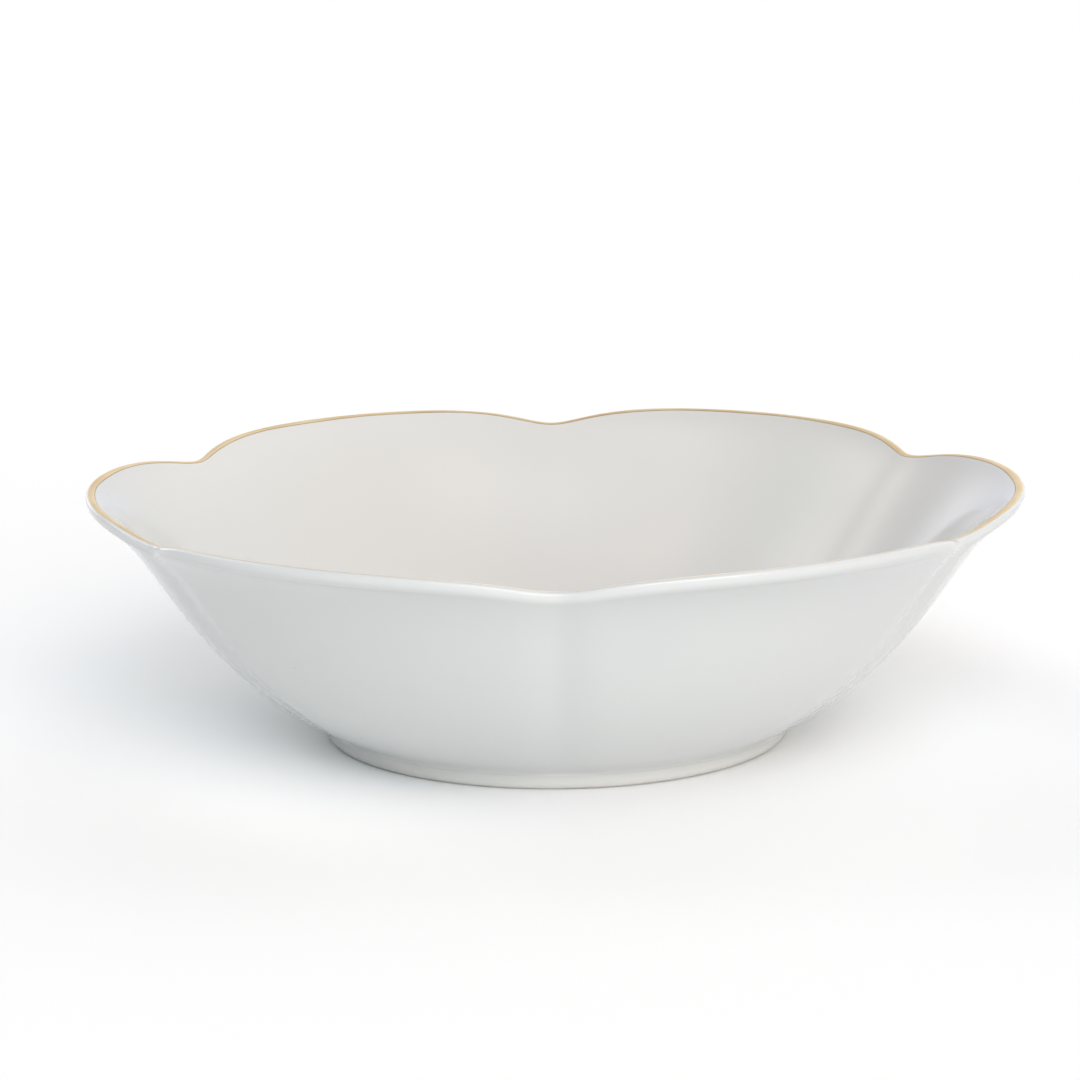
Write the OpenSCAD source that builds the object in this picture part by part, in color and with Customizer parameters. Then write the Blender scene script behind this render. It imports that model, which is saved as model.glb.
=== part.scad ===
// Six-lobed porcelain serving bowl with an everted lip, a gilded rim and a turned foot ring.
//
// The bowl is built in the layers it is made in: a fired clay body, the foot ring luted under
// it, a glassy glaze over both, and a band of gold on top of the glaze round the lip.
// The origin is the centre of the foot's bearing face, +Z points up and +X runs through the
// middle of a lobe. All sizes are in millimetres, all angles in degrees.

/* [Bowl] */
// Diameter across two opposite lobes, outermost edge
bowl_d = 240; // [210:1:270]
// Height of the lip's crest over the middle of a lobe
bowl_h = 65.5; // [58:0.5:75]
// Slope of the wall where it leaves the foot, above the horizontal
base_slope = 29.5; // [26:0.5:33]
// Length of the foot's pull on the outer wall curve
base_pull = 40.5; // [36:0.5:44]

/* [Lip] */
// Slope of the everted lip above the horizontal
lip_slope = 27; // [20:1:32]
// Length of the lip's pull on the outer wall curve
lip_pull = 17; // [13:0.5:19]
// Radius of the rounding under the lip
under_r = 3.2; // [2.6:0.1:3.6]
// Radius of the lip's outer top edge
edge_r = 0.7; // [0.5:0.1:1]
// Radius of the lip's gently rounded top
crest_r = 3; // [2.4:0.1:3.4]

/* [Inside] */
// Radius of the flat floor
floor_r = 46; // [42:1:50]
// Height of the glazed floor above the table
floor_z = 8.6; // [8:0.1:9.4]
// Length of the floor's pull on the inner wall curve
floor_pull = 40; // [36:1:42]
// Length of the lip's pull on the inner wall curve
inner_lip_pull = 18; // [14:0.5:20]

/* [Lobes] */
// Number of lobes round the rim
lobes = 6; // [4:1:8]
// Share of the wall's curve that is trimmed away at the notches between lobes
notch_trim = 0.12; // [0.04:0.01:0.16]
// Share of the inner wall's curve that is trimmed away at the notches
notch_inner_trim = 0.13; // [0.04:0.01:0.18]
// Radius of the rounding in the middle of a notch
notch_round = 10; // [4:0.5:14]
// Width over which a notch fades sideways into the lobes
notch_spread = 14; // [10:0.5:20]
// Depth of the narrow flute that runs down the wall from each notch
flute_depth = 1.5; // [0:0.1:2.4]
// Half width of a flute
flute_width = 4; // [3:0.5:7]
// How soon the flutes reach their depth above the foot, less is sooner
flute_start = 0.35; // [0.2:0.05:1]
// Share of its depth that a flute loses towards the rim
flute_ease = 0.5; // [0:0.1:0.8]
// Share of a flute's depth that shows on the inside
flute_inside = 0.4; // [0:0.1:1]

/* [Foot] */
// Radius at which the wall meets the foot, in the crease between them
crease_r = 61.5; // [57:0.5:64]
// Height of the foot ring
foot_h = 4.1; // [3.8:0.1:4.6]
// Radius of the soft crease between the wall and the foot
crease_round = 7; // [4:0.5:8]
// Slope of the foot's outer side above the horizontal
foot_slope = 70; // [62:1:78]
// Width of the flat bearing face
bearing_w = 3; // [2:0.1:4]
// Width of the foot ring where it joins the body
foot_root_w = 8; // [7:0.5:9]

/* [Glaze and gold] */
// Thickness of the glaze
glaze_t = 0.3; // [0.2:0.05:0.35]
// Height at which the glaze stops above the table, so that the bearing face stays bare
glaze_stop = 0.5; // [0.4:0.1:1]
// Thickness of the gold
gold_t = 0.08; // [0.06:0.01:0.15]
// Angle round the lip's section at which the edge gives way to the crest and the gold starts
gold_start = 80; // [70:1:86]
// Width of the gold past the lip's rounded top, down the inner wall
gold_tail = 0.6; // [0.3:0.1:2]

/* [Smoothness] */
// Steps round each lobe
lobe_steps = 16; // [8:2:16]
// Steps up each wall
wall_steps = 10; // [8:1:12]

/* [Hidden] */

porcelain = [0.93, 0.92, 0.89];
inside_white = [0.93, 0.92, 0.9];
outside_white = [0.9, 0.93, 0.94];
gold = [0.85, 0.7, 0.42];

// Segments round the turned foot, and steps along the short roundings of the section
foot_segments = 180;
crease_steps = 2;
under_steps = 3;
edge_steps = 2;
crest_steps = 3;
foot_steps = 3;

// How far the lip's underside is pulled out at the wall and at its outermost edge, 1 is a circle
under_root_pull = 1.35;
under_face_pull = 0.8;

// Steps round the bowl draw together towards the notches by this power
crowding = 1.6;
ring_steps = lobes * lobe_steps;
half_lobe = 180 / lobes;
rim_r = bowl_d / 2;

// The lip's section: a rounding under it, a tight edge and a gently rounded top. Each centre is
// placed from the one before, and the slope of the wall there sets where the roundings end.
edge_from_under = [under_r - edge_r, 0];
crest_from_edge = (edge_r - crest_r) * along(gold_start);
lobe_under = [rim_r - edge_r, bowl_h - crest_r - crest_from_edge.y] - edge_from_under;
lobe_outer_end = lobe_under + under_r * along(lip_slope - 90);
lobe_inner_end = crest_centre(lobe_under) + inner_end_offset(lip_slope);

// The crease is a hollow arc, which crosses the plane of the foot's top at crease_slope
crease_slope = (base_slope + foot_slope) / 2;
crease_centre = [crease_r, foot_h] + crease_round * along(crease_slope - 90);
wall_start = crease_centre - crease_round * along(base_slope - 90);
foot_side_end = crease_centre - crease_round * along(foot_slope - 90);

// Control points of the two wall curves in the middle of a lobe, as [radius, height]
outer_wall = [
  wall_start,
  wall_start + base_pull * along(base_slope),
  lobe_outer_end - lip_pull * along(lip_slope),
  lobe_outer_end
];
lobe_inner_wall = [
  lobe_inner_end,
  lobe_inner_end - inner_lip_pull * along(lip_slope),
  [floor_r + floor_pull, floor_z],
  [floor_r, floor_z]
];

// The clay's radius where it crosses the plane of the foot's top
clay_crease_r = crease_r - glaze_t / sin(crease_slope);
foot_inner_r = clay_crease_r - foot_root_w;
foot_inner_flare = 1;
bearing_chamfer = 0.6;
bearing_r = foot_side(-glaze_t, glaze_stop).x - bearing_chamfer;

function along(angle) = [cos(angle), sin(angle)];
function unit(v) = v / norm(v);
function between(a, b, share) = a + (b - a) * share;

// The direction a quarter turn clockwise from v, which points out of the porcelain
function outward(v) = unit([v.y, -v.x]);

function curve_point(c, t) =
  pow(1 - t, 3) * c[0] + 3 * pow(1 - t, 2) * t * c[1] + 3 * (1 - t) * t * t * c[2] + pow(t, 3) * c[3];

function curve_heading(c, t) =
  pow(1 - t, 2) * (c[1] - c[0]) + 2 * (1 - t) * t * (c[2] - c[1]) + t * t * (c[3] - c[2]);

function crest_centre(under_centre) = under_centre + edge_from_under + crest_from_edge;

// From the crest's centre to the gold's inner edge, where the lip has this slope
function inner_end_offset(slope) = crest_r * along(slope + 90) - gold_tail * along(slope);

// The two sides of the nearest notches at distance q from one of them, and width w between them
function notch_side(q) = exp((notch_round - norm([q, notch_round])) / notch_spread);
function notch_sides(q, w) = notch_side(q) + notch_side(w - q);

// The turn from angle a to the nearest notch
function from_notch(a) =
  2 * half_lobe * abs((a / half_lobe + 1) / 2 - round((a / half_lobe + 1) / 2));

// 0 in the middle of a lobe and 1 in the middle of a notch, at angle a
function notch_share(a) =
  let (
    w = 2 * PI * rim_r / lobes,
    q = PI * rim_r * from_notch(a) / 180,
    least = notch_sides(w / 2, w),
    most = notch_sides(0, w)
  )
  (notch_sides(q, w) - least) / (most - least);

// The lip's rounded underside where the wall ends at a point and slope: a circle's quarter curve
// that is pulled out to be soft where it leaves the wall
function under_curve(centre, end, slope) =
  let (
    pull = under_r * 4 / 3 * tan((90 - slope) / 4),
    outermost = centre + [under_r, 0]
  )
  [
    end,
    end + under_root_pull * pull * along(slope),
    outermost - [0, under_face_pull * pull],
    outermost
  ];

// A station of the section is a point on the finished surface and the direction out of it there
function curve_station(c, t) = [curve_point(c, t), outward(curve_heading(c, t))];
function round_station(centre, r, angle) = [centre + r * along(angle), along(angle)];
function crease_station(slope) = [crease_centre - crease_round * along(slope - 90), along(slope - 90)];

// The inner wall's curve where share t of it is trimmed away and the lip ends at a point and slope
function inner_wall(end, slope, t) = [
  end,
  end - (1 - t) * norm(curve_heading(lobe_inner_wall, t)) * along(slope),
  [floor_r + (1 - t) * floor_pull, floor_z],
  [floor_r, floor_z]
];

// The whole section at one angle, from the crease up the outer wall, over the lip and down to the
// floor. The wall's curve is the same all round, trimmed off lower at the notches.
function section_at(a) =
  let (
    share = notch_share(a),
    kept = 1 - notch_trim * share,
    rim_heading = curve_heading(outer_wall, kept),
    slope = atan2(rim_heading.y, rim_heading.x),
    end = curve_point(outer_wall, kept),
    under = end - under_r * along(slope - 90),
    lip = under_curve(under, end, slope),
    edge = under + edge_from_under,
    crest = crest_centre(under),
    inner = inner_wall(crest + inner_end_offset(slope), slope, notch_inner_trim * share)
  )
  [
    for (i = [0 : crease_steps - 1]) crease_station(between(crease_slope, base_slope, i / crease_steps)),
    for (i = [0 : wall_steps - 1]) curve_station(outer_wall, kept * i / wall_steps),
    for (i = [0 : under_steps]) curve_station(lip, i / under_steps),
    for (i = [1 : edge_steps]) round_station(edge, edge_r, gold_start * i / edge_steps),
    for (i = [1 : crest_steps])
      round_station(crest, crest_r, between(gold_start, slope + 90, i / crest_steps)),
    for (i = [0 : wall_steps]) curve_station(inner, i / wall_steps)
  ];
gold_first = crease_steps + wall_steps + under_steps + edge_steps;
gold_last = gold_first + crest_steps + 1;
section_last = gold_last + wall_steps;

// The angle of a step within its lobe, from -half_lobe at a notch over 0 in the lobe's middle
function step_angle(i) =
  let (u = 2 * i / lobe_steps - 1)
  sign(u) * half_lobe * (1 - pow(1 - abs(u), crowding));

ring_angles = [
  for (lobe = [0 : lobes - 1])
    for (i = [0 : lobe_steps - 1]) 2 * half_lobe * lobe + step_angle(i)
];

// The sections of one lobe, which every lobe repeats
lobe_sections = [for (i = [0 : lobe_steps - 1]) section_at(step_angle(i))];

// How far a flute draws the surface in at angle a and radius r
function flute(a, r) =
  let (
    up = min(1, max(0, (r - crease_r) / (lobe_outer_end.x - crease_r))),
    q = PI * r * from_notch(a) / 180
  )
  flute_depth * pow(up, flute_start) * (1 - flute_ease * pow(up, 4)) * exp(-pow(q / flute_width, 2) / 2);

// How much of the flutes shows at station i: all of it outside, less past the lip's crest
function flute_share(i) = between(1, flute_inside, min(1, max(0, (i - gold_first) / crest_steps)));

// Station i of a section moved out of the finished surface by lift, or into it where lift is
// negative. The first one stays on the plane of the foot's top.
function lifted(section, i, lift) =
  i == 0 ? [crease_r + lift / sin(crease_slope), foot_h] : section[i][0] + lift * section[i][1];

// The ring of vertices at station i all round the bowl
function ring(i, lift) = [
  for (k = [0 : ring_steps - 1])
    let (
      a = ring_angles[k],
      section = lobe_sections[k % lobe_steps],
      p = lifted(section, i, lift),
      r = p.x - flute_share(i) * flute(a, section[i][0].x)
    )
    [r * cos(a), r * sin(a), p.y]
];

// Points of the foot's outer side, moved out or in by lift: down the crease, and at height z below it
function foot_crease(lift) = [
  for (i = [1 : foot_steps])
    crease_centre - (crease_round - lift) * along(between(crease_slope, foot_slope, i / foot_steps) - 90)
];
function foot_side(lift, z) =
  [foot_side_end.x + lift / sin(foot_slope) - (foot_side_end.y - z) / tan(foot_slope), z];

function rings(first, last, lift) = [for (i = [first : last]) each ring(i, lift)];

// Triangles from the ring that starts at vertex a to the ring that starts at vertex b.
// Every layer splits its quads along the same diagonal, so touching layers share their faces.
function strip(a, b) = [
  for (i = [0 : ring_steps - 1])
    let (k = (i + 1) % ring_steps)
    each [[a + i, b + k, a + k], [a + i, b + i, b + k]]
];

function strips(first_vertex, count) = [
  for (j = [0 : count - 2])
    each strip(first_vertex + j * ring_steps, first_vertex + (j + 1) * ring_steps)
];

function flipped(faces) = [for (f = faces) [f[2], f[1], f[0]]];

function disc_down(a) = [[for (i = [0 : ring_steps - 1]) a + i]];
function disc_up(a) = [[for (i = [0 : ring_steps - 1]) a + ring_steps - 1 - i]];

// A layer between two lifts, over the stations first to last. A closed layer ends in two discs,
// any other in a narrow wall.
module layer(first, last, under, over, closed = false) {
  count = last - first + 1;
  under_start = count * ring_steps;
  over_end = (count - 1) * ring_steps;
  under_end = under_start + over_end;
  end_faces = closed
    ? concat(disc_up(over_end), disc_down(under_end))
    : flipped(strip(under_end, over_end));
  polyhedron(
    points = concat(rings(first, last, over), rings(first, last, under)),
    faces = concat(
      strips(0, count),
      flipped(strips(under_start, count)),
      strip(under_start, 0),
      end_faces
    ),
    convexity = 6
  );
}

// The lobed clay bowl, closed by the floor above and by the flat underside of the base below
module bowl_body() {
  color(porcelain)
    polyhedron(
      points = rings(0, section_last, -glaze_t),
      faces = concat(
        strips(0, section_last + 1),
        disc_down(0),
        disc_up(section_last * ring_steps)
      ),
      convexity = 6
    );
}

// The turned ring under the bowl, with its flat unglazed bearing face
module foot_ring() {
  color(porcelain)
    rotate_extrude($fn = foot_segments)
      polygon([
        [foot_inner_r, foot_h],
        [foot_inner_r + foot_inner_flare, glaze_stop],
        [bearing_r - bearing_w, 0],
        [bearing_r, 0],
        foot_side(-glaze_t, glaze_stop),
        for (i = [foot_steps - 1 : -1 : 0]) foot_crease(-glaze_t)[i],
        [clay_crease_r, foot_h]
      ]);
}

// Glaze over the lip's crest, down the inner wall and across the floor
module inside_glaze() {
  color(inside_white) layer(gold_first, section_last, -glaze_t, 0, closed = true);
}

// Glaze from the crease at the foot up the outer wall and round the edge of the lip
module outside_glaze() {
  color(outside_white) layer(0, gold_first, -glaze_t, 0);
}

// Glaze on the foot's outer side
module foot_glaze() {
  color(outside_white)
    rotate_extrude($fn = foot_segments)
      polygon([
        [clay_crease_r, foot_h],
        each foot_crease(-glaze_t),
        foot_side(-glaze_t, glaze_stop),
        foot_side(0, glaze_stop + glaze_t),
        for (i = [foot_steps - 1 : -1 : 0]) foot_crease(0)[i],
        [crease_r, foot_h]
      ]);
}

// Glaze inside the foot ring: down the ring's inner side and across the underside of the base
module base_glaze() {
  color(outside_white)
    rotate_extrude($fn = foot_segments)
      polygon([
        [0, foot_h],
        [foot_inner_r, foot_h],
        [foot_inner_r + foot_inner_flare, glaze_stop],
        [foot_inner_r + foot_inner_flare - glaze_t, glaze_stop + glaze_t],
        [foot_inner_r - glaze_t, foot_h - glaze_t],
        [0, foot_h - glaze_t]
      ]);
}

// Gold fired on the glaze, from the lip's outer edge over its top to the start of the inner wall
module gold_rim_band() {
  color(gold) layer(gold_first, gold_last, 0, gold_t);
}

bowl_body();
foot_ring();
inside_glaze();
outside_glaze();
foot_glaze();
base_glaze();
gold_rim_band();
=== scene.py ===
"""Looks of the lobed porcelain serving bowl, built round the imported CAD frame.

Every piece is a closed mesh swept round the bowl's axis from a section, in metres, in the CAD's
frame: the fired clay, the turned foot ring, the glaze in four zones and the gold on the lip.
"""

import math

import bpy
import numpy as np
from mathutils import Matrix, Vector


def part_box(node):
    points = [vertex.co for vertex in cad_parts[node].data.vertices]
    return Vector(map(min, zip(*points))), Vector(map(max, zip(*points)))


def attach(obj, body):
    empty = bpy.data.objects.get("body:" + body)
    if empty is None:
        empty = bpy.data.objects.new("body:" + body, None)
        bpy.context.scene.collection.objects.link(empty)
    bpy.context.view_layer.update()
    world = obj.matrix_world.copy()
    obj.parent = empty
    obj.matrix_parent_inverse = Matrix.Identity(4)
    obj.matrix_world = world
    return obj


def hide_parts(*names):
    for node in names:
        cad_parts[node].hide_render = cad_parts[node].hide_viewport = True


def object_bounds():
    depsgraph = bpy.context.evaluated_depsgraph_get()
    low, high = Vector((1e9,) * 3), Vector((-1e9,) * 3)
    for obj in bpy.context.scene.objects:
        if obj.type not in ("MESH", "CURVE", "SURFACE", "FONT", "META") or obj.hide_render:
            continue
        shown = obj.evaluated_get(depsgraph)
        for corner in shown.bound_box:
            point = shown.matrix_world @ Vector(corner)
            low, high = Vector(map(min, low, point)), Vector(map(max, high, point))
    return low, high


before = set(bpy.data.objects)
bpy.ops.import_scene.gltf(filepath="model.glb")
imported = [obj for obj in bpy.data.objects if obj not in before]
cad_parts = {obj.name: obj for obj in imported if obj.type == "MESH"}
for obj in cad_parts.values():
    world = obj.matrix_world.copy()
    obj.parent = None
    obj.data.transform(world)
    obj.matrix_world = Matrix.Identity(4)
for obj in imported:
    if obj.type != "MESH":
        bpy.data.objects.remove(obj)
cad_low, cad_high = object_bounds()

MM = 0.001

# The bowl's overall sizes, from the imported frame
BOWL_R = cad_high.x
FOOT_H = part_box("foot_ring")[1][2]
GLAZE_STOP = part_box("base_glaze")[0][2]
GOLD_T = 0.08 * MM
RIM_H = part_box("gold_rim_band")[1][2] - GOLD_T

# The section's shape in the middle of a lobe, as the CAD draws it
BASE_SLOPE = 29.5
BASE_PULL = 40.5 * MM
LIP_SLOPE = 27.0
LIP_PULL = 17.0 * MM
UNDER_R = 3.2 * MM
UNDER_ROOT_PULL = 1.35
UNDER_FACE_PULL = 0.8
EDGE_R = 0.7 * MM
CREST_R = 3.0 * MM
CREST_FROM = 80.0
FLOOR_R = 46.0 * MM
FLOOR_Z = 8.6 * MM
FLOOR_PULL = 40.0 * MM
INNER_LIP_PULL = 18.0 * MM
CREASE_R = 61.5 * MM
CREASE_ROUND = 7.0 * MM
FOOT_SLOPE = 70.0
FOOT_ROOT_W = 8.0 * MM
FOOT_INNER_FLARE = 1.0 * MM
BEARING_W = 3.0 * MM
BEARING_CHAMFER = 0.6 * MM
GLAZE_T = 0.3 * MM
GOLD_TAIL = 0.6 * MM

# Where the painted gold starts round the lip's section, and how wide it is. It starts early at the
# bowl's two sides and late at the front; each turn is (waves round the bowl, shift in degrees, size).
GOLD_EDGE = 87.0
GOLD_EDGE_TURNS = [(1, 180, 8.3), (2, -90, 9.3), (4, -90, 3.4), (7, 40, 1.0), (19, 210, 0.6)]
GOLD_W = 2.0 * MM
GOLD_W_TURNS = [(3, 20, 0.05), (8, 150, 0.05), (23, 75, 0.04)]

# Where the band starts late it is narrower, down to a least width, and its bulge fades at both edges
GOLD_LATE_LOSS = 0.5
GOLD_LEAST_W = 0.6 * GOLD_W
GOLD_EDGE_FADE = 0.15

# The scalloped trim of the rim, and the narrow flutes under its notches, as the CAD draws them
LOBES = 6
NOTCH_TRIM = 0.12
NOTCH_INNER_TRIM = 0.13
NOTCH_ROUND = 10.0 * MM
NOTCH_SPREAD = 14.0 * MM
FLUTE_DEPTH = 1.5 * MM
FLUTE_WIDTH = 4.0 * MM
FLUTE_START = 0.35
FLUTE_EASE = 0.5
FLUTE_INSIDE = 0.4
CROWDING = 1.6

# How finely the pieces are swept: steps round each lobe, up each wall and along the small roundings
LOBE_STEPS = 90
WALL_STEPS = 44
CREASE_STEPS = 10
UNDER_STEPS = 12
EDGE_STEPS = 6
CREST_STEPS = 10
RING_STEPS = LOBES * LOBE_STEPS
GOLD_STEPS = 16

# Faces that meet more steeply than this have a sharp edge between them, in degrees
SHARP_ANGLE = 50

# Small clearances and roundings of the foot's turned pieces
CREASE_TOP_GAP = 0.02 * MM
FOOT_ROUND = 0.45 * MM
BASE_ROUND = 0.8 * MM

# Half the width of the table top
TABLE_HALF = 15.0


# ---------------------------------------------------------------- section


def along(degrees):
    """Unit vectors at angles above the horizontal, as (radius, height)."""
    return np.stack([np.cos(np.radians(degrees)), np.sin(np.radians(degrees))], -1)


def curve(c, t):
    """Points and outward normals at parameters t along a cubic curve."""
    t = np.asarray(t)[..., None]
    points = (1 - t) ** 3 * c[0] + 3 * (1 - t) ** 2 * t * c[1] + 3 * (1 - t) * t * t * c[2] + t**3 * c[3]
    heading = (1 - t) ** 2 * (c[1] - c[0]) + 2 * (1 - t) * t * (c[2] - c[1]) + t * t * (c[3] - c[2])
    pull = np.linalg.norm(heading, axis=-1)
    heading = heading / pull[..., None]
    return points, np.stack([heading[..., 1], -heading[..., 0]], -1), pull


def arc(centre, radius, first, last, steps):
    """Points and outward normals round a convex arc, or a hollow one where radius is negative."""
    normals = along(first + (last - first) * np.linspace(0, 1, steps + 1)[:, None])
    return centre + radius * normals, normals


def joined(*stretches):
    """One stretch of points and normals from several that meet end to end, for every ring step."""
    full = [[np.broadcast_to(part, (len(part), RING_STEPS, 2)) for part in s[:2]] for s in stretches]
    points = np.concatenate([full[0][0]] + [s[0][1:] for s in full[1:]])
    normals = np.concatenate([full[0][1]] + [s[1][1:] for s in full[1:]])
    return points, normals


def step_angles():
    """The angles of the steps round the bowl, which draw together towards the notches."""
    u = 2 * np.arange(LOBE_STEPS) / LOBE_STEPS - 1
    within = np.sign(u) * 180 / LOBES * (1 - (1 - np.abs(u)) ** CROWDING)
    return np.concatenate([within + 360 / LOBES * lobe for lobe in range(LOBES)])


def from_notch(angles):
    """The turn from each angle to the nearest notch, in degrees."""
    turns = angles / 360 * LOBES + 0.5
    return np.abs(turns - np.round(turns)) * 360 / LOBES


def notch_share(angles):
    """0 in the middle of a lobe and 1 in the middle of a notch."""
    width = 2 * math.pi * BOWL_R / LOBES
    q = np.radians(from_notch(angles)) * BOWL_R

    def side(q):
        return np.exp((NOTCH_ROUND - np.hypot(q, NOTCH_ROUND)) / NOTCH_SPREAD)

    def both(q):
        return side(q) + side(width - q)

    return (both(q) - both(width / 2)) / (both(0) - both(width / 2))


RING_ANGLES = step_angles()
COS, SIN = np.cos(np.radians(RING_ANGLES)), np.sin(np.radians(RING_ANGLES))

# The foot's crease and the two wall curves in the middle of a lobe
CREASE_SLOPE = (BASE_SLOPE + FOOT_SLOPE) / 2
CREASE_CENTRE = np.array([CREASE_R, FOOT_H]) + CREASE_ROUND * along(CREASE_SLOPE - 90)
WALL_START = CREASE_CENTRE - CREASE_ROUND * along(BASE_SLOPE - 90)
FOOT_SIDE_END = CREASE_CENTRE - CREASE_ROUND * along(FOOT_SLOPE - 90)
EDGE_FROM_UNDER = np.array([UNDER_R - EDGE_R, 0])
CREST_FROM_EDGE = (EDGE_R - CREST_R) * along(CREST_FROM)
LOBE_UNDER = np.array([BOWL_R - EDGE_R, RIM_H - CREST_R]) - [0, CREST_FROM_EDGE[1]] - EDGE_FROM_UNDER
LOBE_OUTER_END = LOBE_UNDER + UNDER_R * along(LIP_SLOPE - 90)
LOBE_CREST_END = LOBE_UNDER + EDGE_FROM_UNDER + CREST_FROM_EDGE + CREST_R * along(LIP_SLOPE + 90)
LOBE_INNER_END = LOBE_CREST_END - GOLD_TAIL * along(LIP_SLOPE)

OUTER_WALL = np.array([
    WALL_START,
    WALL_START + BASE_PULL * along(BASE_SLOPE),
    LOBE_OUTER_END - LIP_PULL * along(LIP_SLOPE),
    LOBE_OUTER_END,
])
LOBE_INNER_WALL = np.array([
    LOBE_INNER_END,
    LOBE_INNER_END - INNER_LIP_PULL * along(LIP_SLOPE),
    [FLOOR_R + FLOOR_PULL, FLOOR_Z],
    [FLOOR_R, FLOOR_Z],
])

# The lip at every step round the bowl, where the wall's curve is trimmed
OUTER_KEPT = 1 - NOTCH_TRIM * notch_share(RING_ANGLES)
INNER_START = NOTCH_INNER_TRIM * notch_share(RING_ANGLES)
OUTER_END, OUTER_END_N, _ = curve(OUTER_WALL, OUTER_KEPT)
RIM_SLOPE = np.degrees(np.arctan2(OUTER_END_N[:, 0], -OUTER_END_N[:, 1]))
UNDER_CENTRE = OUTER_END - UNDER_R * OUTER_END_N
EDGE_CENTRE = UNDER_CENTRE + EDGE_FROM_UNDER
CREST_CENTRE = EDGE_CENTRE + CREST_FROM_EDGE
CREST_END = CREST_CENTRE + CREST_R * along(RIM_SLOPE + 90)
INNER_END = CREST_END - GOLD_TAIL * along(RIM_SLOPE)

CLAY_CREASE_R = CREASE_R - GLAZE_T / math.sin(math.radians(CREASE_SLOPE))
FOOT_INNER_R = CLAY_CREASE_R - FOOT_ROOT_W


def foot_crease(depth):
    """The crease's arc below the foot's top, from the top down, at a depth under the glaze's surface."""
    angles = np.linspace(CREASE_SLOPE - 90, FOOT_SLOPE - 90, CREASE_STEPS + 1)
    points = np.array([CREASE_CENTRE - (CREASE_ROUND + depth) * along(a) for a in angles])
    return points[points[:, 1] < FOOT_H - CREASE_TOP_GAP]


def foot_side(depth, height):
    """A point of the foot's sloping outer side, at a depth under the glaze's surface."""
    slope = math.radians(FOOT_SLOPE)
    return np.array([
        FOOT_SIDE_END[0] - depth / math.sin(slope) - (FOOT_SIDE_END[1] - height) / math.tan(slope),
        height,
    ])


BEARING_R = foot_side(GLAZE_T, GLAZE_STOP)[0] - BEARING_CHAMFER


def inner_wall():
    """The inner wall's curve at every step round the bowl, the lobe's own with its start trimmed off."""
    kept = 1 - INNER_START
    pull = kept * curve(LOBE_INNER_WALL, INNER_START)[2]
    return np.stack([
        INNER_END,
        INNER_END - pull[:, None] * along(RIM_SLOPE),
        np.stack([FLOOR_R + FLOOR_PULL * kept, np.full(RING_STEPS, FLOOR_Z)], -1),
        np.broadcast_to([FLOOR_R, FLOOR_Z], (RING_STEPS, 2)),
    ])


def lip_rounding():
    """The curve of the lip's rounded underside at every step, soft where it leaves the wall."""
    pull = 4 / 3 * np.tan(np.radians(90 - RIM_SLOPE) / 4)[:, None] * UNDER_R
    outermost = UNDER_CENTRE + [UNDER_R, 0]
    return np.stack([
        OUTER_END,
        OUTER_END + UNDER_ROOT_PULL * pull * along(RIM_SLOPE),
        outermost - UNDER_FACE_PULL * pull * [0, 1],
        outermost,
    ])


def section_lines():
    """The finished section at every step, in two stretches: the outer side, then the top and inside."""
    up = np.linspace(0, 1, WALL_STEPS + 1)[:, None]
    outer = joined(
        arc(CREASE_CENTRE, -CREASE_ROUND, CREASE_SLOPE - 90, BASE_SLOPE - 90, CREASE_STEPS),
        curve(OUTER_WALL, up * OUTER_KEPT),
        curve(lip_rounding(), np.linspace(0, 1, UNDER_STEPS + 1)[:, None]),
        arc(EDGE_CENTRE, EDGE_R, 0, CREST_FROM, EDGE_STEPS),
    )
    tail = np.stack([CREST_END, INNER_END]), np.stack([along(RIM_SLOPE + 90)] * 2)
    inner = joined(
        arc(CREST_CENTRE, CREST_R, CREST_FROM, RIM_SLOPE + 90, CREST_STEPS),
        tail,
        curve(inner_wall(), up),
    )
    return outer, inner


(OUTSIDE, OUTSIDE_N), (INSIDE, INSIDE_N) = section_lines()


def sunk(points, normals):
    """The clay's surface under a stretch of glazed surface."""
    return points - GLAZE_T * normals


# ---------------------------------------------------------------- flutes


def flute(radius):
    """How far the flutes draw the surface in, at the radius of each point of each ring."""
    up = np.clip((radius - CREASE_R) / (LOBE_OUTER_END[0] - CREASE_R), 0, 1)
    depth = FLUTE_DEPTH * up**FLUTE_START * (1 - FLUTE_EASE * up**4)
    q = np.radians(from_notch(RING_ANGLES)) * radius
    return depth * np.exp(-((q / FLUTE_WIDTH) ** 2) / 2)


# ---------------------------------------------------------------- meshes


def quads(first, second, count):
    """Faces between two rings of count vertices that start at first and second."""
    return [(first + i, first + (i + 1) % count, second + (i + 1) % count, second + i) for i in range(count)]


def inside_share(crest):
    """How much of the flutes shows, from all of it at the crest's start to what the inside keeps."""
    return 1 - (1 - FLUTE_INSIDE) * np.clip(crest, 0, 1)


OUTSIDE_SHARE = np.ones(len(OUTSIDE))
INSIDE_SHARE = inside_share(np.arange(len(INSIDE)) / CREST_STEPS)


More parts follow.
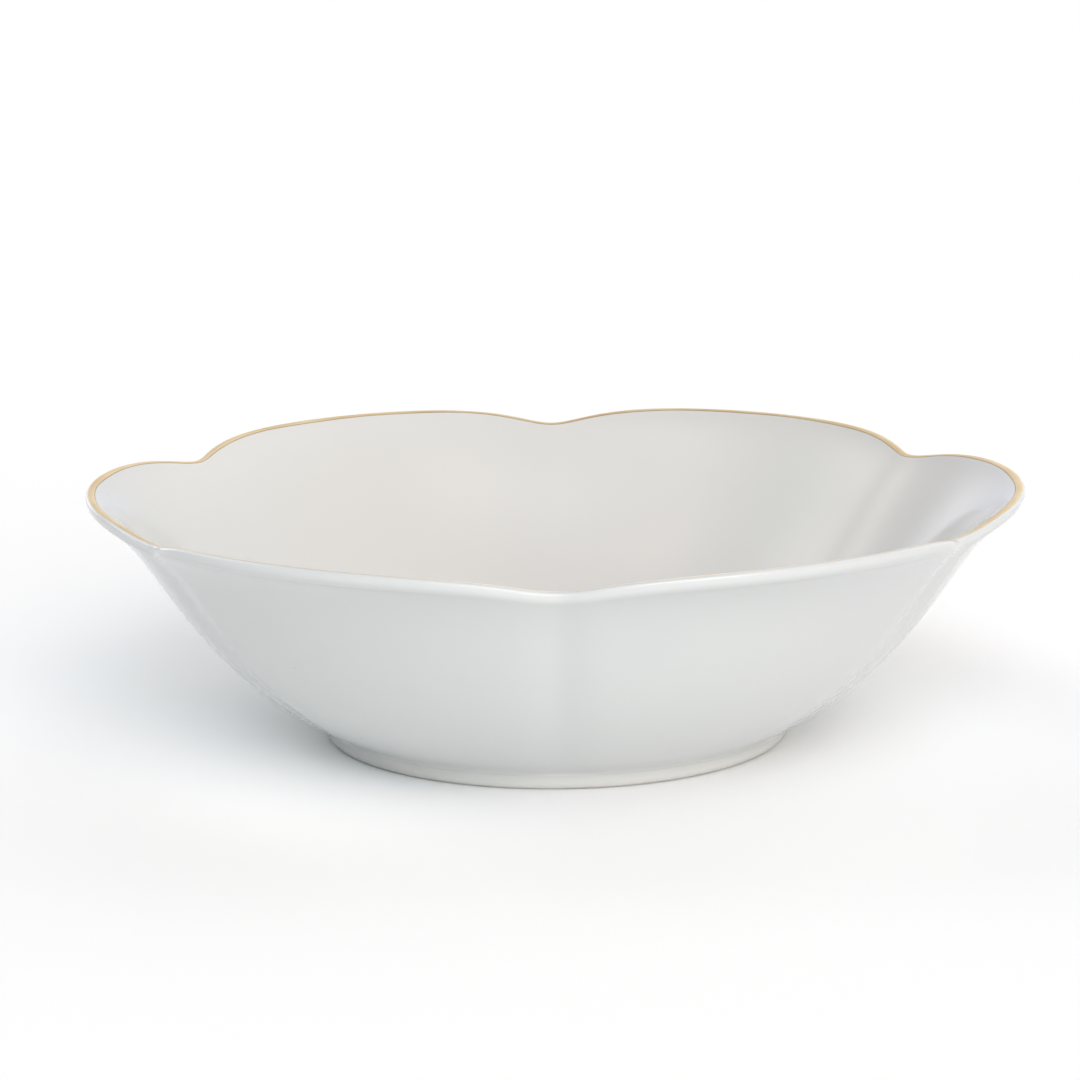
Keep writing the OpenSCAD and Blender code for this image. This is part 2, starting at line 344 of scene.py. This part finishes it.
def sweep(name, points, stations, shares, closed=True):
    """A mesh swept round the axis through points of (radius, height), with the flutes pressed in.

    stations gives the radius of the finished surface at each point, which sets its flute, and
    shares says how much of the flute shows there. A closed section makes a ring of porcelain; an
    open one starts and ends on the axis. Each may hold one set for every step round the bowl.
    """
    points = np.asarray(points, float)
    if points.ndim == 2:
        points = points[:, None, :]
    stations = np.asarray(stations, float)
    stations = stations[:, None] if stations.ndim == 1 else stations
    shares = np.asarray(shares, float)
    shares = shares[:, None] if shares.ndim == 1 else shares
    r = points[..., 0] - shares * flute(stations)
    z = np.broadcast_to(points[..., 1], r.shape)
    vertices = np.stack([r * COS, r * SIN, z], -1)
    if closed:
        flat = vertices.reshape(-1, 3)
        starts = np.arange(len(points) + 1) % len(points) * RING_STEPS
        faces = []
    else:
        poles = [[0, 0, z[0, 0]], [0, 0, z[-1, 0]]]
        flat = np.concatenate([vertices[1:-1].reshape(-1, 3), poles])
        starts = np.arange(len(points) - 2) * RING_STEPS
        first, last = len(flat) - 2, len(flat) - 1
        faces = [(first, (i + 1) % RING_STEPS, i) for i in range(RING_STEPS)]
        faces += [(last, starts[-1] + i, starts[-1] + (i + 1) % RING_STEPS) for i in range(RING_STEPS)]
    for a, b in zip(starts, starts[1:]):
        faces += quads(int(a), int(b), RING_STEPS)
    mesh = bpy.data.meshes.new(name)
    mesh.from_pydata(flat.tolist(), [], [tuple(int(v) for v in f) for f in faces])
    mesh.polygons.foreach_set("use_smooth", [True] * len(mesh.polygons))
    mesh.set_sharp_from_angle(angle=math.radians(SHARP_ANGLE))
    mesh.update()
    piece = bpy.data.objects.new(name, mesh)
    bpy.context.collection.objects.link(piece)
    return piece


def turned(name, line, closed=True):
    """A plain turned piece, swept from one line of (radius, height)."""
    return sweep(name, line, np.zeros(len(line)), np.zeros(len(line)), closed)


def rounded(corners, radius, steps=5):
    """A polyline through corners of (radius, height), each inner corner turned into a small arc."""
    corners = [np.asarray(c, float) for c in corners]
    line = [corners[0]]
    for before, corner, after in zip(corners, corners[1:], corners[2:]):
        back, on = before - corner, after - corner
        reach = min(radius, 0.45 * np.linalg.norm(back), 0.45 * np.linalg.norm(on))
        start = corner + back / np.linalg.norm(back) * reach
        end = corner + on / np.linalg.norm(on) * reach
        for t in np.linspace(0, 1, steps + 1):
            line.append((1 - t) ** 2 * start + 2 * (1 - t) * t * corner + t * t * end)
    line.append(corners[-1])
    return np.array(line)


def place(piece, slot, material, *nodes):
    """Gives a piece its material, hangs it on the root body and hides the CAD nodes it stands for."""
    piece.data.materials.append(material)
    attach(piece, "root")
    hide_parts(*nodes)
    return piece


# ---------------------------------------------------------------- materials


def principled(name):
    """A new node material, with its node tree and its Principled shader."""
    material = bpy.data.materials.new(name)
    material.use_nodes = True
    tree = material.node_tree
    return material, tree, tree.nodes["Principled BSDF"]


def object_noise(tree, scale, detail=2.0, stretch=(1, 1, 1)):
    """A noise texture over object coordinates, and its factor output."""
    place_in = tree.nodes.new("ShaderNodeTexCoord")
    mapping = tree.nodes.new("ShaderNodeMapping")
    mapping.inputs["Scale"].default_value = stretch
    noise = tree.nodes.new("ShaderNodeTexNoise")
    noise.inputs["Scale"].default_value = scale
    noise.inputs["Detail"].default_value = detail
    tree.links.new(place_in.outputs["Object"], mapping.inputs["Vector"])
    tree.links.new(mapping.outputs["Vector"], noise.inputs["Vector"])
    return noise.outputs["Fac"]


def ramp(tree, factor, stops):
    """A colour ramp from factor through stops of (position, colour)."""
    node = tree.nodes.new("ShaderNodeValToRGB")
    elements = node.color_ramp.elements
    while len(elements) < len(stops):
        elements.new(0.5)
    for element, (position, colour) in zip(elements, stops):
        element.position = position
        element.color = (*colour, 1)
    tree.links.new(factor, node.inputs["Fac"])
    return node.outputs["Color"]


def remap(tree, factor, low, high):
    """factor, from 0 to 1, spread over low to high."""
    node = tree.nodes.new("ShaderNodeMapRange")
    node.inputs["To Min"].default_value = low
    node.inputs["To Max"].default_value = high
    tree.links.new(factor, node.inputs["Value"])
    return node.outputs["Result"]


def bump(tree, shader, layers):
    """Stacks bumps of (height output, depth in metres) under a shader's normal."""
    normal = None
    for height, depth in layers:
        node = tree.nodes.new("ShaderNodeBump")
        node.inputs["Strength"].default_value = 1.0
        node.inputs["Distance"].default_value = depth
        tree.links.new(height, node.inputs["Height"])
        if normal is not None:
            tree.links.new(normal, node.inputs["Normal"])
        normal = node.outputs["Normal"]
    tree.links.new(normal, shader.inputs["Normal"])


def thin_glaze_and_painted_light(tree, colour, tint):
    """colour, turning into tint down the foot: warmer where the glaze has run thin, and lighter there as
    painted light.
    """
    height = tree.nodes.new("ShaderNodeSeparateXYZ")
    tree.links.new(tree.nodes.new("ShaderNodeTexCoord").outputs["Object"], height.inputs[0])
    above = tree.nodes.new("ShaderNodeMapRange")
    above.interpolation_type = "SMOOTHSTEP"
    above.inputs["From Min"].default_value = 1.5 * MM
    above.inputs["From Max"].default_value = 6.5 * MM
    tree.links.new(height.outputs["Z"], above.inputs["Value"])
    mix = tree.nodes.new("ShaderNodeMix")
    mix.data_type = "RGBA"
    mix.inputs["A"].default_value = (*tint, 1)
    tree.links.new(above.outputs["Result"], mix.inputs["Factor"])
    tree.links.new(colour, mix.inputs["B"])
    return mix.outputs["Result"]


def glaze_material(name, tint, shade, foot_colour_with_painted_light=None):
    """Clear gloss glaze over white porcelain: a faint mottle, a wavy surface and rare dark specks."""
    material, tree, shader = principled(name)
    mottle = ramp(tree, object_noise(tree, 18, 3), [(0.3, shade), (0.7, tint)])
    # The foot colour is warmer as thin glaze, and lighter as painted light on the foot.
    if foot_colour_with_painted_light:
        mottle = thin_glaze_and_painted_light(tree, mottle, foot_colour_with_painted_light)
    specks = tree.nodes.new("ShaderNodeTexVoronoi")
    specks.inputs["Scale"].default_value = 42
    place_in = tree.nodes.new("ShaderNodeTexCoord")
    tree.links.new(place_in.outputs["Object"], specks.inputs["Vector"])
    speck = ramp(tree, specks.outputs["Distance"], [(0.008, (0.55, 0.5, 0.42)), (0.014, (1, 1, 1))])
    mix = tree.nodes.new("ShaderNodeMix")
    mix.data_type, mix.blend_type = "RGBA", "MULTIPLY"
    mix.inputs["Factor"].default_value = 1.0
    tree.links.new(mottle, mix.inputs["A"])
    tree.links.new(speck, mix.inputs["B"])
    tree.links.new(mix.outputs["Result"], shader.inputs["Base Color"])
    tree.links.new(remap(tree, object_noise(tree, 60), 0.09, 0.15), shader.inputs["Roughness"])
    shader.inputs["IOR"].default_value = 1.5
    bump(tree, shader, [
        (object_noise(tree, 34, 1), 0.035 * MM),
        (object_noise(tree, 420, 1), 0.001 * MM),
    ])
    return material


def clay_material():
    """Bare fired porcelain: matt, with fine grain and faint grey rub marks."""
    material, tree, shader = principled("bare_porcelain")
    colour = ramp(tree, object_noise(tree, 90, 4), [(0.3, (0.5, 0.485, 0.46)), (0.65, (0.56, 0.55, 0.53))])
    tree.links.new(colour, shader.inputs["Base Color"])
    tree.links.new(remap(tree, object_noise(tree, 300), 0.6, 0.8), shader.inputs["Roughness"])
    bump(tree, shader, [(object_noise(tree, 1500, 3), 0.03 * MM)])
    return material


def gold_material():
    """Thin burnished gold: a little worn and paler in places, darker along its inner edge."""
    material, tree, shader = principled("burnished_gold")
    colour = ramp(tree, object_noise(tree, 70, 3), [(0.3, (0.84, 0.65, 0.39)), (0.7, (0.93, 0.785, 0.53))])
    across = tree.nodes.new("ShaderNodeAttribute")
    across.attribute_name = "across"
    edge = ramp(tree, across.outputs["Fac"], [(0.84, (1, 1, 1)), (0.97, (0.5, 0.43, 0.35))])
    mix = tree.nodes.new("ShaderNodeMix")
    mix.data_type, mix.blend_type = "RGBA", "MULTIPLY"
    mix.inputs["Factor"].default_value = 1.0
    tree.links.new(colour, mix.inputs["A"])
    tree.links.new(edge, mix.inputs["B"])
    tree.links.new(mix.outputs["Result"], shader.inputs["Base Color"])
    shader.inputs["Metallic"].default_value = 1.0
    tree.links.new(remap(tree, object_noise(tree, 160), 0.52, 0.64), shader.inputs["Roughness"])
    bump(tree, shader, [(object_noise(tree, 900, 2), 0.004 * MM)])
    return material


INSIDE_GLAZE = glaze_material("inside_glaze", (0.618, 0.609, 0.589), (0.606, 0.597, 0.576))
# The outside coat's tint, cooler than the inside's, is painted cool light on the outside walls; its foot
# colour is warmer as thin glaze and lighter as painted light.
OUTSIDE_GLAZE_PAINTED_LIGHT = glaze_material(
    "outside_glaze", (0.616, 0.625, 0.621), (0.604, 0.615, 0.611), foot_colour_with_painted_light=(0.67, 0.66, 0.635)
)
CLAY = clay_material()
GOLD = gold_material()


# ---------------------------------------------------------------- pieces


def on_axis(height):
    """A point on the axis for every step round the bowl."""
    return np.broadcast_to([0.0, height], (1, RING_STEPS, 2))


def with_poles(radii):
    """Station radii with one on the axis at each end."""
    pole = np.zeros((1, RING_STEPS))
    return np.concatenate([pole, radii, pole])


def clay_body():
    clay_out, clay_in = sunk(OUTSIDE, OUTSIDE_N), sunk(INSIDE, INSIDE_N)
    clay_out[0] = (CLAY_CREASE_R, FOOT_H)
    points = np.concatenate([on_axis(FOOT_H), clay_out, clay_in[1:], on_axis(FLOOR_Z - GLAZE_T)])
    stations = with_poles(np.concatenate([OUTSIDE[..., 0], INSIDE[1:, :, 0]]))
    shares = np.concatenate([[1], OUTSIDE_SHARE, INSIDE_SHARE[1:], [1]])
    piece = sweep("bowl_body_clay", points, stations, shares, closed=False)
    return place(piece, "porcelain_body", CLAY, "bowl_body")


def foot():
    corners = [
        (FOOT_INNER_R, FOOT_H),
        (FOOT_INNER_R + FOOT_INNER_FLARE, GLAZE_STOP),
        (BEARING_R - BEARING_W, 0),
        (BEARING_R, 0),
        foot_side(GLAZE_T, GLAZE_STOP),
        *foot_crease(GLAZE_T)[::-1],
        (CLAY_CREASE_R, FOOT_H),
    ]
    line = rounded(corners, FOOT_ROUND)
    piece = turned("turned_foot_ring", line)
    return place(piece, "porcelain_body", CLAY, "foot_ring")


def inside_glaze():
    clay = sunk(INSIDE, INSIDE_N)
    points = np.concatenate([on_axis(FLOOR_Z - GLAZE_T), clay[::-1], INSIDE, on_axis(FLOOR_Z)])
    stations = with_poles(np.concatenate([INSIDE[::-1, :, 0], INSIDE[..., 0]]))
    shares = np.concatenate([[1], INSIDE_SHARE[::-1], INSIDE_SHARE, [1]])
    piece = sweep("inside_glaze_coat", points, stations, shares, closed=False)
    return place(piece, "inside_glaze", INSIDE_GLAZE, "inside_glaze")


def outside_glaze():
    clay = sunk(OUTSIDE, OUTSIDE_N)
    clay[0] = (CLAY_CREASE_R, FOOT_H)
    points = np.concatenate([OUTSIDE, clay[::-1]])
    stations = np.concatenate([OUTSIDE[..., 0], OUTSIDE[::-1, :, 0]])
    piece = sweep("outside_glaze_coat", points, stations, np.ones(len(points)))
    return place(piece, "outside_glaze", OUTSIDE_GLAZE_PAINTED_LIGHT, "outside_glaze")


def foot_glaze():
    line = np.vstack([
        (CLAY_CREASE_R, FOOT_H),
        foot_crease(GLAZE_T),
        foot_side(GLAZE_T, GLAZE_STOP),
        foot_side(0, GLAZE_STOP + GLAZE_T),
        foot_crease(0)[::-1],
        (CREASE_R, FOOT_H),
    ])
    piece = turned("foot_glaze_coat", line)
    return place(piece, "outside_glaze", OUTSIDE_GLAZE_PAINTED_LIGHT, "foot_glaze")


def base_glaze():
    corners = [
        (0, FOOT_H - GLAZE_T),
        (FOOT_INNER_R - GLAZE_T, FOOT_H - GLAZE_T),
        (FOOT_INNER_R + FOOT_INNER_FLARE - GLAZE_T, GLAZE_STOP + GLAZE_T),
        (FOOT_INNER_R + FOOT_INNER_FLARE, GLAZE_STOP),
        (FOOT_INNER_R, FOOT_H),
        (0, FOOT_H),
    ]
    line = rounded(corners, BASE_ROUND)
    piece = turned("base_glaze_coat", line, closed=False)
    return place(piece, "outside_glaze", OUTSIDE_GLAZE_PAINTED_LIGHT, "base_glaze")


def gold_line(k, start, width):
    """Points, normals and flute shares across the gold at ring step k, from an angle inwards."""
    top = max(start, CREST_FROM)
    lengths = np.cumsum([
        0,
        EDGE_R * math.radians(top - start),
        CREST_R * math.radians(RIM_SLOPE[k] + 90 - top),
    ])
    points, normals, shares = [], [], []
    for s in np.linspace(0, width, GOLD_STEPS + 1):
        if s < lengths[1]:
            turn = start + math.degrees(s / EDGE_R)
            points.append(EDGE_CENTRE[k] + EDGE_R * along(turn))
        else:
            turn = top + math.degrees((min(s, lengths[2]) - lengths[1]) / CREST_R)
            slide = max(s - lengths[2], 0)
            points.append(CREST_CENTRE[k] + CREST_R * along(turn) - slide * along(RIM_SLOPE[k]))
        normals.append(along(turn))
        shares.append(inside_share((turn - CREST_FROM) / (RIM_SLOPE[k] + 90 - CREST_FROM)))
    return np.array(points), np.array(normals), np.array(shares)


def hand_drawn(turns):
    """A slow waver round the bowl, as the edge of a brush stroke has."""
    return sum(np.sin(np.radians(k * RING_ANGLES + shift)) * size for k, shift, size in turns)


def gold_band():
    start = GOLD_EDGE + hand_drawn(GOLD_EDGE_TURNS)
    late = np.maximum(start - CREST_FROM, 0) * math.radians(1) * CREST_R
    width = np.maximum(GOLD_W * (1 + hand_drawn(GOLD_W_TURNS)) - GOLD_LATE_LOSS * late, GOLD_LEAST_W)
    lines = [gold_line(k, a, w) for k, (a, w) in enumerate(zip(start, width))]
    under, normals, shares = (np.stack(part, 1) for part in zip(*lines))
    bulge = np.sin(np.linspace(GOLD_EDGE_FADE, math.pi - GOLD_EDGE_FADE, len(under)))[:, None, None] ** 0.5
    points = np.concatenate([under + GOLD_T * bulge * normals, under[::-1]])
    stations = np.concatenate([under[..., 0], under[::-1, :, 0]])
    piece = sweep("gold_band", points, stations, np.concatenate([shares, shares[::-1]]))
    share = np.linspace(0, 1, len(under))
    across = piece.data.attributes.new("across", "FLOAT", "POINT")
    across.data.foreach_set("value", np.repeat(np.concatenate([share, share[::-1]]), RING_STEPS))
    return place(piece, "gold", GOLD, "gold_rim_band")


clay_body()
foot()
inside_glaze()
outside_glaze()
foot_glaze()
base_glaze()
gold_band()


# ---------------------------------------------------------------- stage, light and camera


def floor():
    """A wide pale table top."""
    corners = [(x * TABLE_HALF, y * TABLE_HALF, 0) for x, y in ((-1, -1), (1, -1), (1, 1), (-1, 1))]
    mesh = bpy.data.meshes.new("table_top")
    mesh.from_pydata(corners, [], [(0, 1, 2, 3)])
    piece = bpy.data.objects.new("table_top", mesh)
    bpy.context.collection.objects.link(piece)
    material, tree, shader = principled("pale_table")
    shader.inputs["Base Color"].default_value = (0.95, 0.95, 0.95, 1)
    shader.inputs["Roughness"].default_value = 0.9
    shader.inputs["Specular IOR Level"].default_value = 0.2
    piece.data.materials.append(material)


def towards(azimuth, elevation):
    """The direction at an azimuth (0 is behind the camera, 90 right of the bowl) and an elevation."""
    a, e = math.radians(azimuth), math.radians(elevation)
    return Vector((math.sin(a) * math.cos(e), -math.cos(a) * math.cos(e), math.sin(e)))


def surround(lobes):
    """A dark surround with a soft lobe of light round each direction in lobes."""
    world = bpy.data.worlds.new("surround")
    bpy.context.scene.world = world
    world.use_nodes = True
    tree = world.node_tree
    direction = tree.nodes.new("ShaderNodeTexCoord").outputs["Generated"]
    total = None
    for azimuth, elevation, sharpness, colour in lobes:
        facing = tree.nodes.new("ShaderNodeVectorMath")
        facing.operation = "DOT_PRODUCT"
        facing.inputs[1].default_value = towards(azimuth, elevation)
        lit = tree.nodes.new("ShaderNodeMath")
        lit.operation = "MAXIMUM"
        lit.inputs[1].default_value = 0
        soft = tree.nodes.new("ShaderNodeMath")
        soft.operation = "POWER"
        soft.inputs[1].default_value = sharpness
        added = tree.nodes.new("ShaderNodeVectorMath")
        added.operation = "MULTIPLY_ADD"
        added.inputs[1].default_value = colour
        tree.links.new(direction, facing.inputs[0])
        tree.links.new(facing.outputs["Value"], lit.inputs[0])
        tree.links.new(lit.outputs[0], soft.inputs[0])
        tree.links.new(soft.outputs[0], added.inputs[0])
        if total is not None:
            tree.links.new(total, added.inputs[2])
        total = added.outputs[0]
    tree.links.new(total, tree.nodes["Background"].inputs["Color"])


# The soft lights of the surround: (azimuth, elevation, sharpness, colour)
LIGHT_LOBES = [
    (0, 35, 24, (5.66, 6.11, 6.60)),
    (30, 8, 24, (4.83, 5.12, 5.01)),
    (30, 35, 24, (4.58, 3.81, 3.33)),
    (-120, 35, 24, (2.69, 2.62, 2.58)),
    (-150, 8, 24, (1.74, 1.69, 1.79)),
    (135, 45, 6, (1.26, 1.29, 1.32)),
    (-60, 62, 24, (1.32, 1.13, 1.05)),
    (-90, 35, 24, (0.83, 1.16, 1.18)),
    (135, 0, 6, (0.84, 0.93, 0.88)),
    (180, 0, 6, (0.77, 0.79, 0.92)),
]

CAMERA_DISTANCE = 3.746 * 2 * BOWL_R
CAMERA_ELEVATION = 10.77
CAMERA_AZIMUTH = -0.38
CAMERA_ROLL = -0.48
CAMERA_LENS = 116.48
CAMERA_SENSOR = 36.0
# What the camera looks at, right of and above the middle of the rim as it sees them
AIM_RIGHT, AIM_UP = -3.98 * MM, -15.08 * MM


def camera():
    """A long lens a little above the rim, framed as a product picture is."""
    data = bpy.data.cameras.new("camera")
    data.lens, data.sensor_width = CAMERA_LENS, CAMERA_SENSOR
    data.clip_start, data.clip_end = 0.05, 50.0
    cam = bpy.data.objects.new("camera", data)
    back = towards(CAMERA_AZIMUTH, CAMERA_ELEVATION)
    right = towards(CAMERA_AZIMUTH + 90, 0)
    up = back.cross(right)
    rim = Vector((0, 0, RIM_H))
    cam.location = rim + back * CAMERA_DISTANCE
    aim = rim + right * AIM_RIGHT + up * AIM_UP
    cam.rotation_mode = "QUATERNION"
    turn = (aim - cam.location).to_track_quat("-Z", "Y")
    cam.rotation_quaternion = turn @ Matrix.Rotation(math.radians(CAMERA_ROLL), 4, "Z").to_quaternion()
    bpy.context.collection.objects.link(cam)
    bpy.context.scene.camera = cam


floor()
surround(LIGHT_LOBES)
camera()
bpy.context.scene.view_settings.view_transform = "Standard"
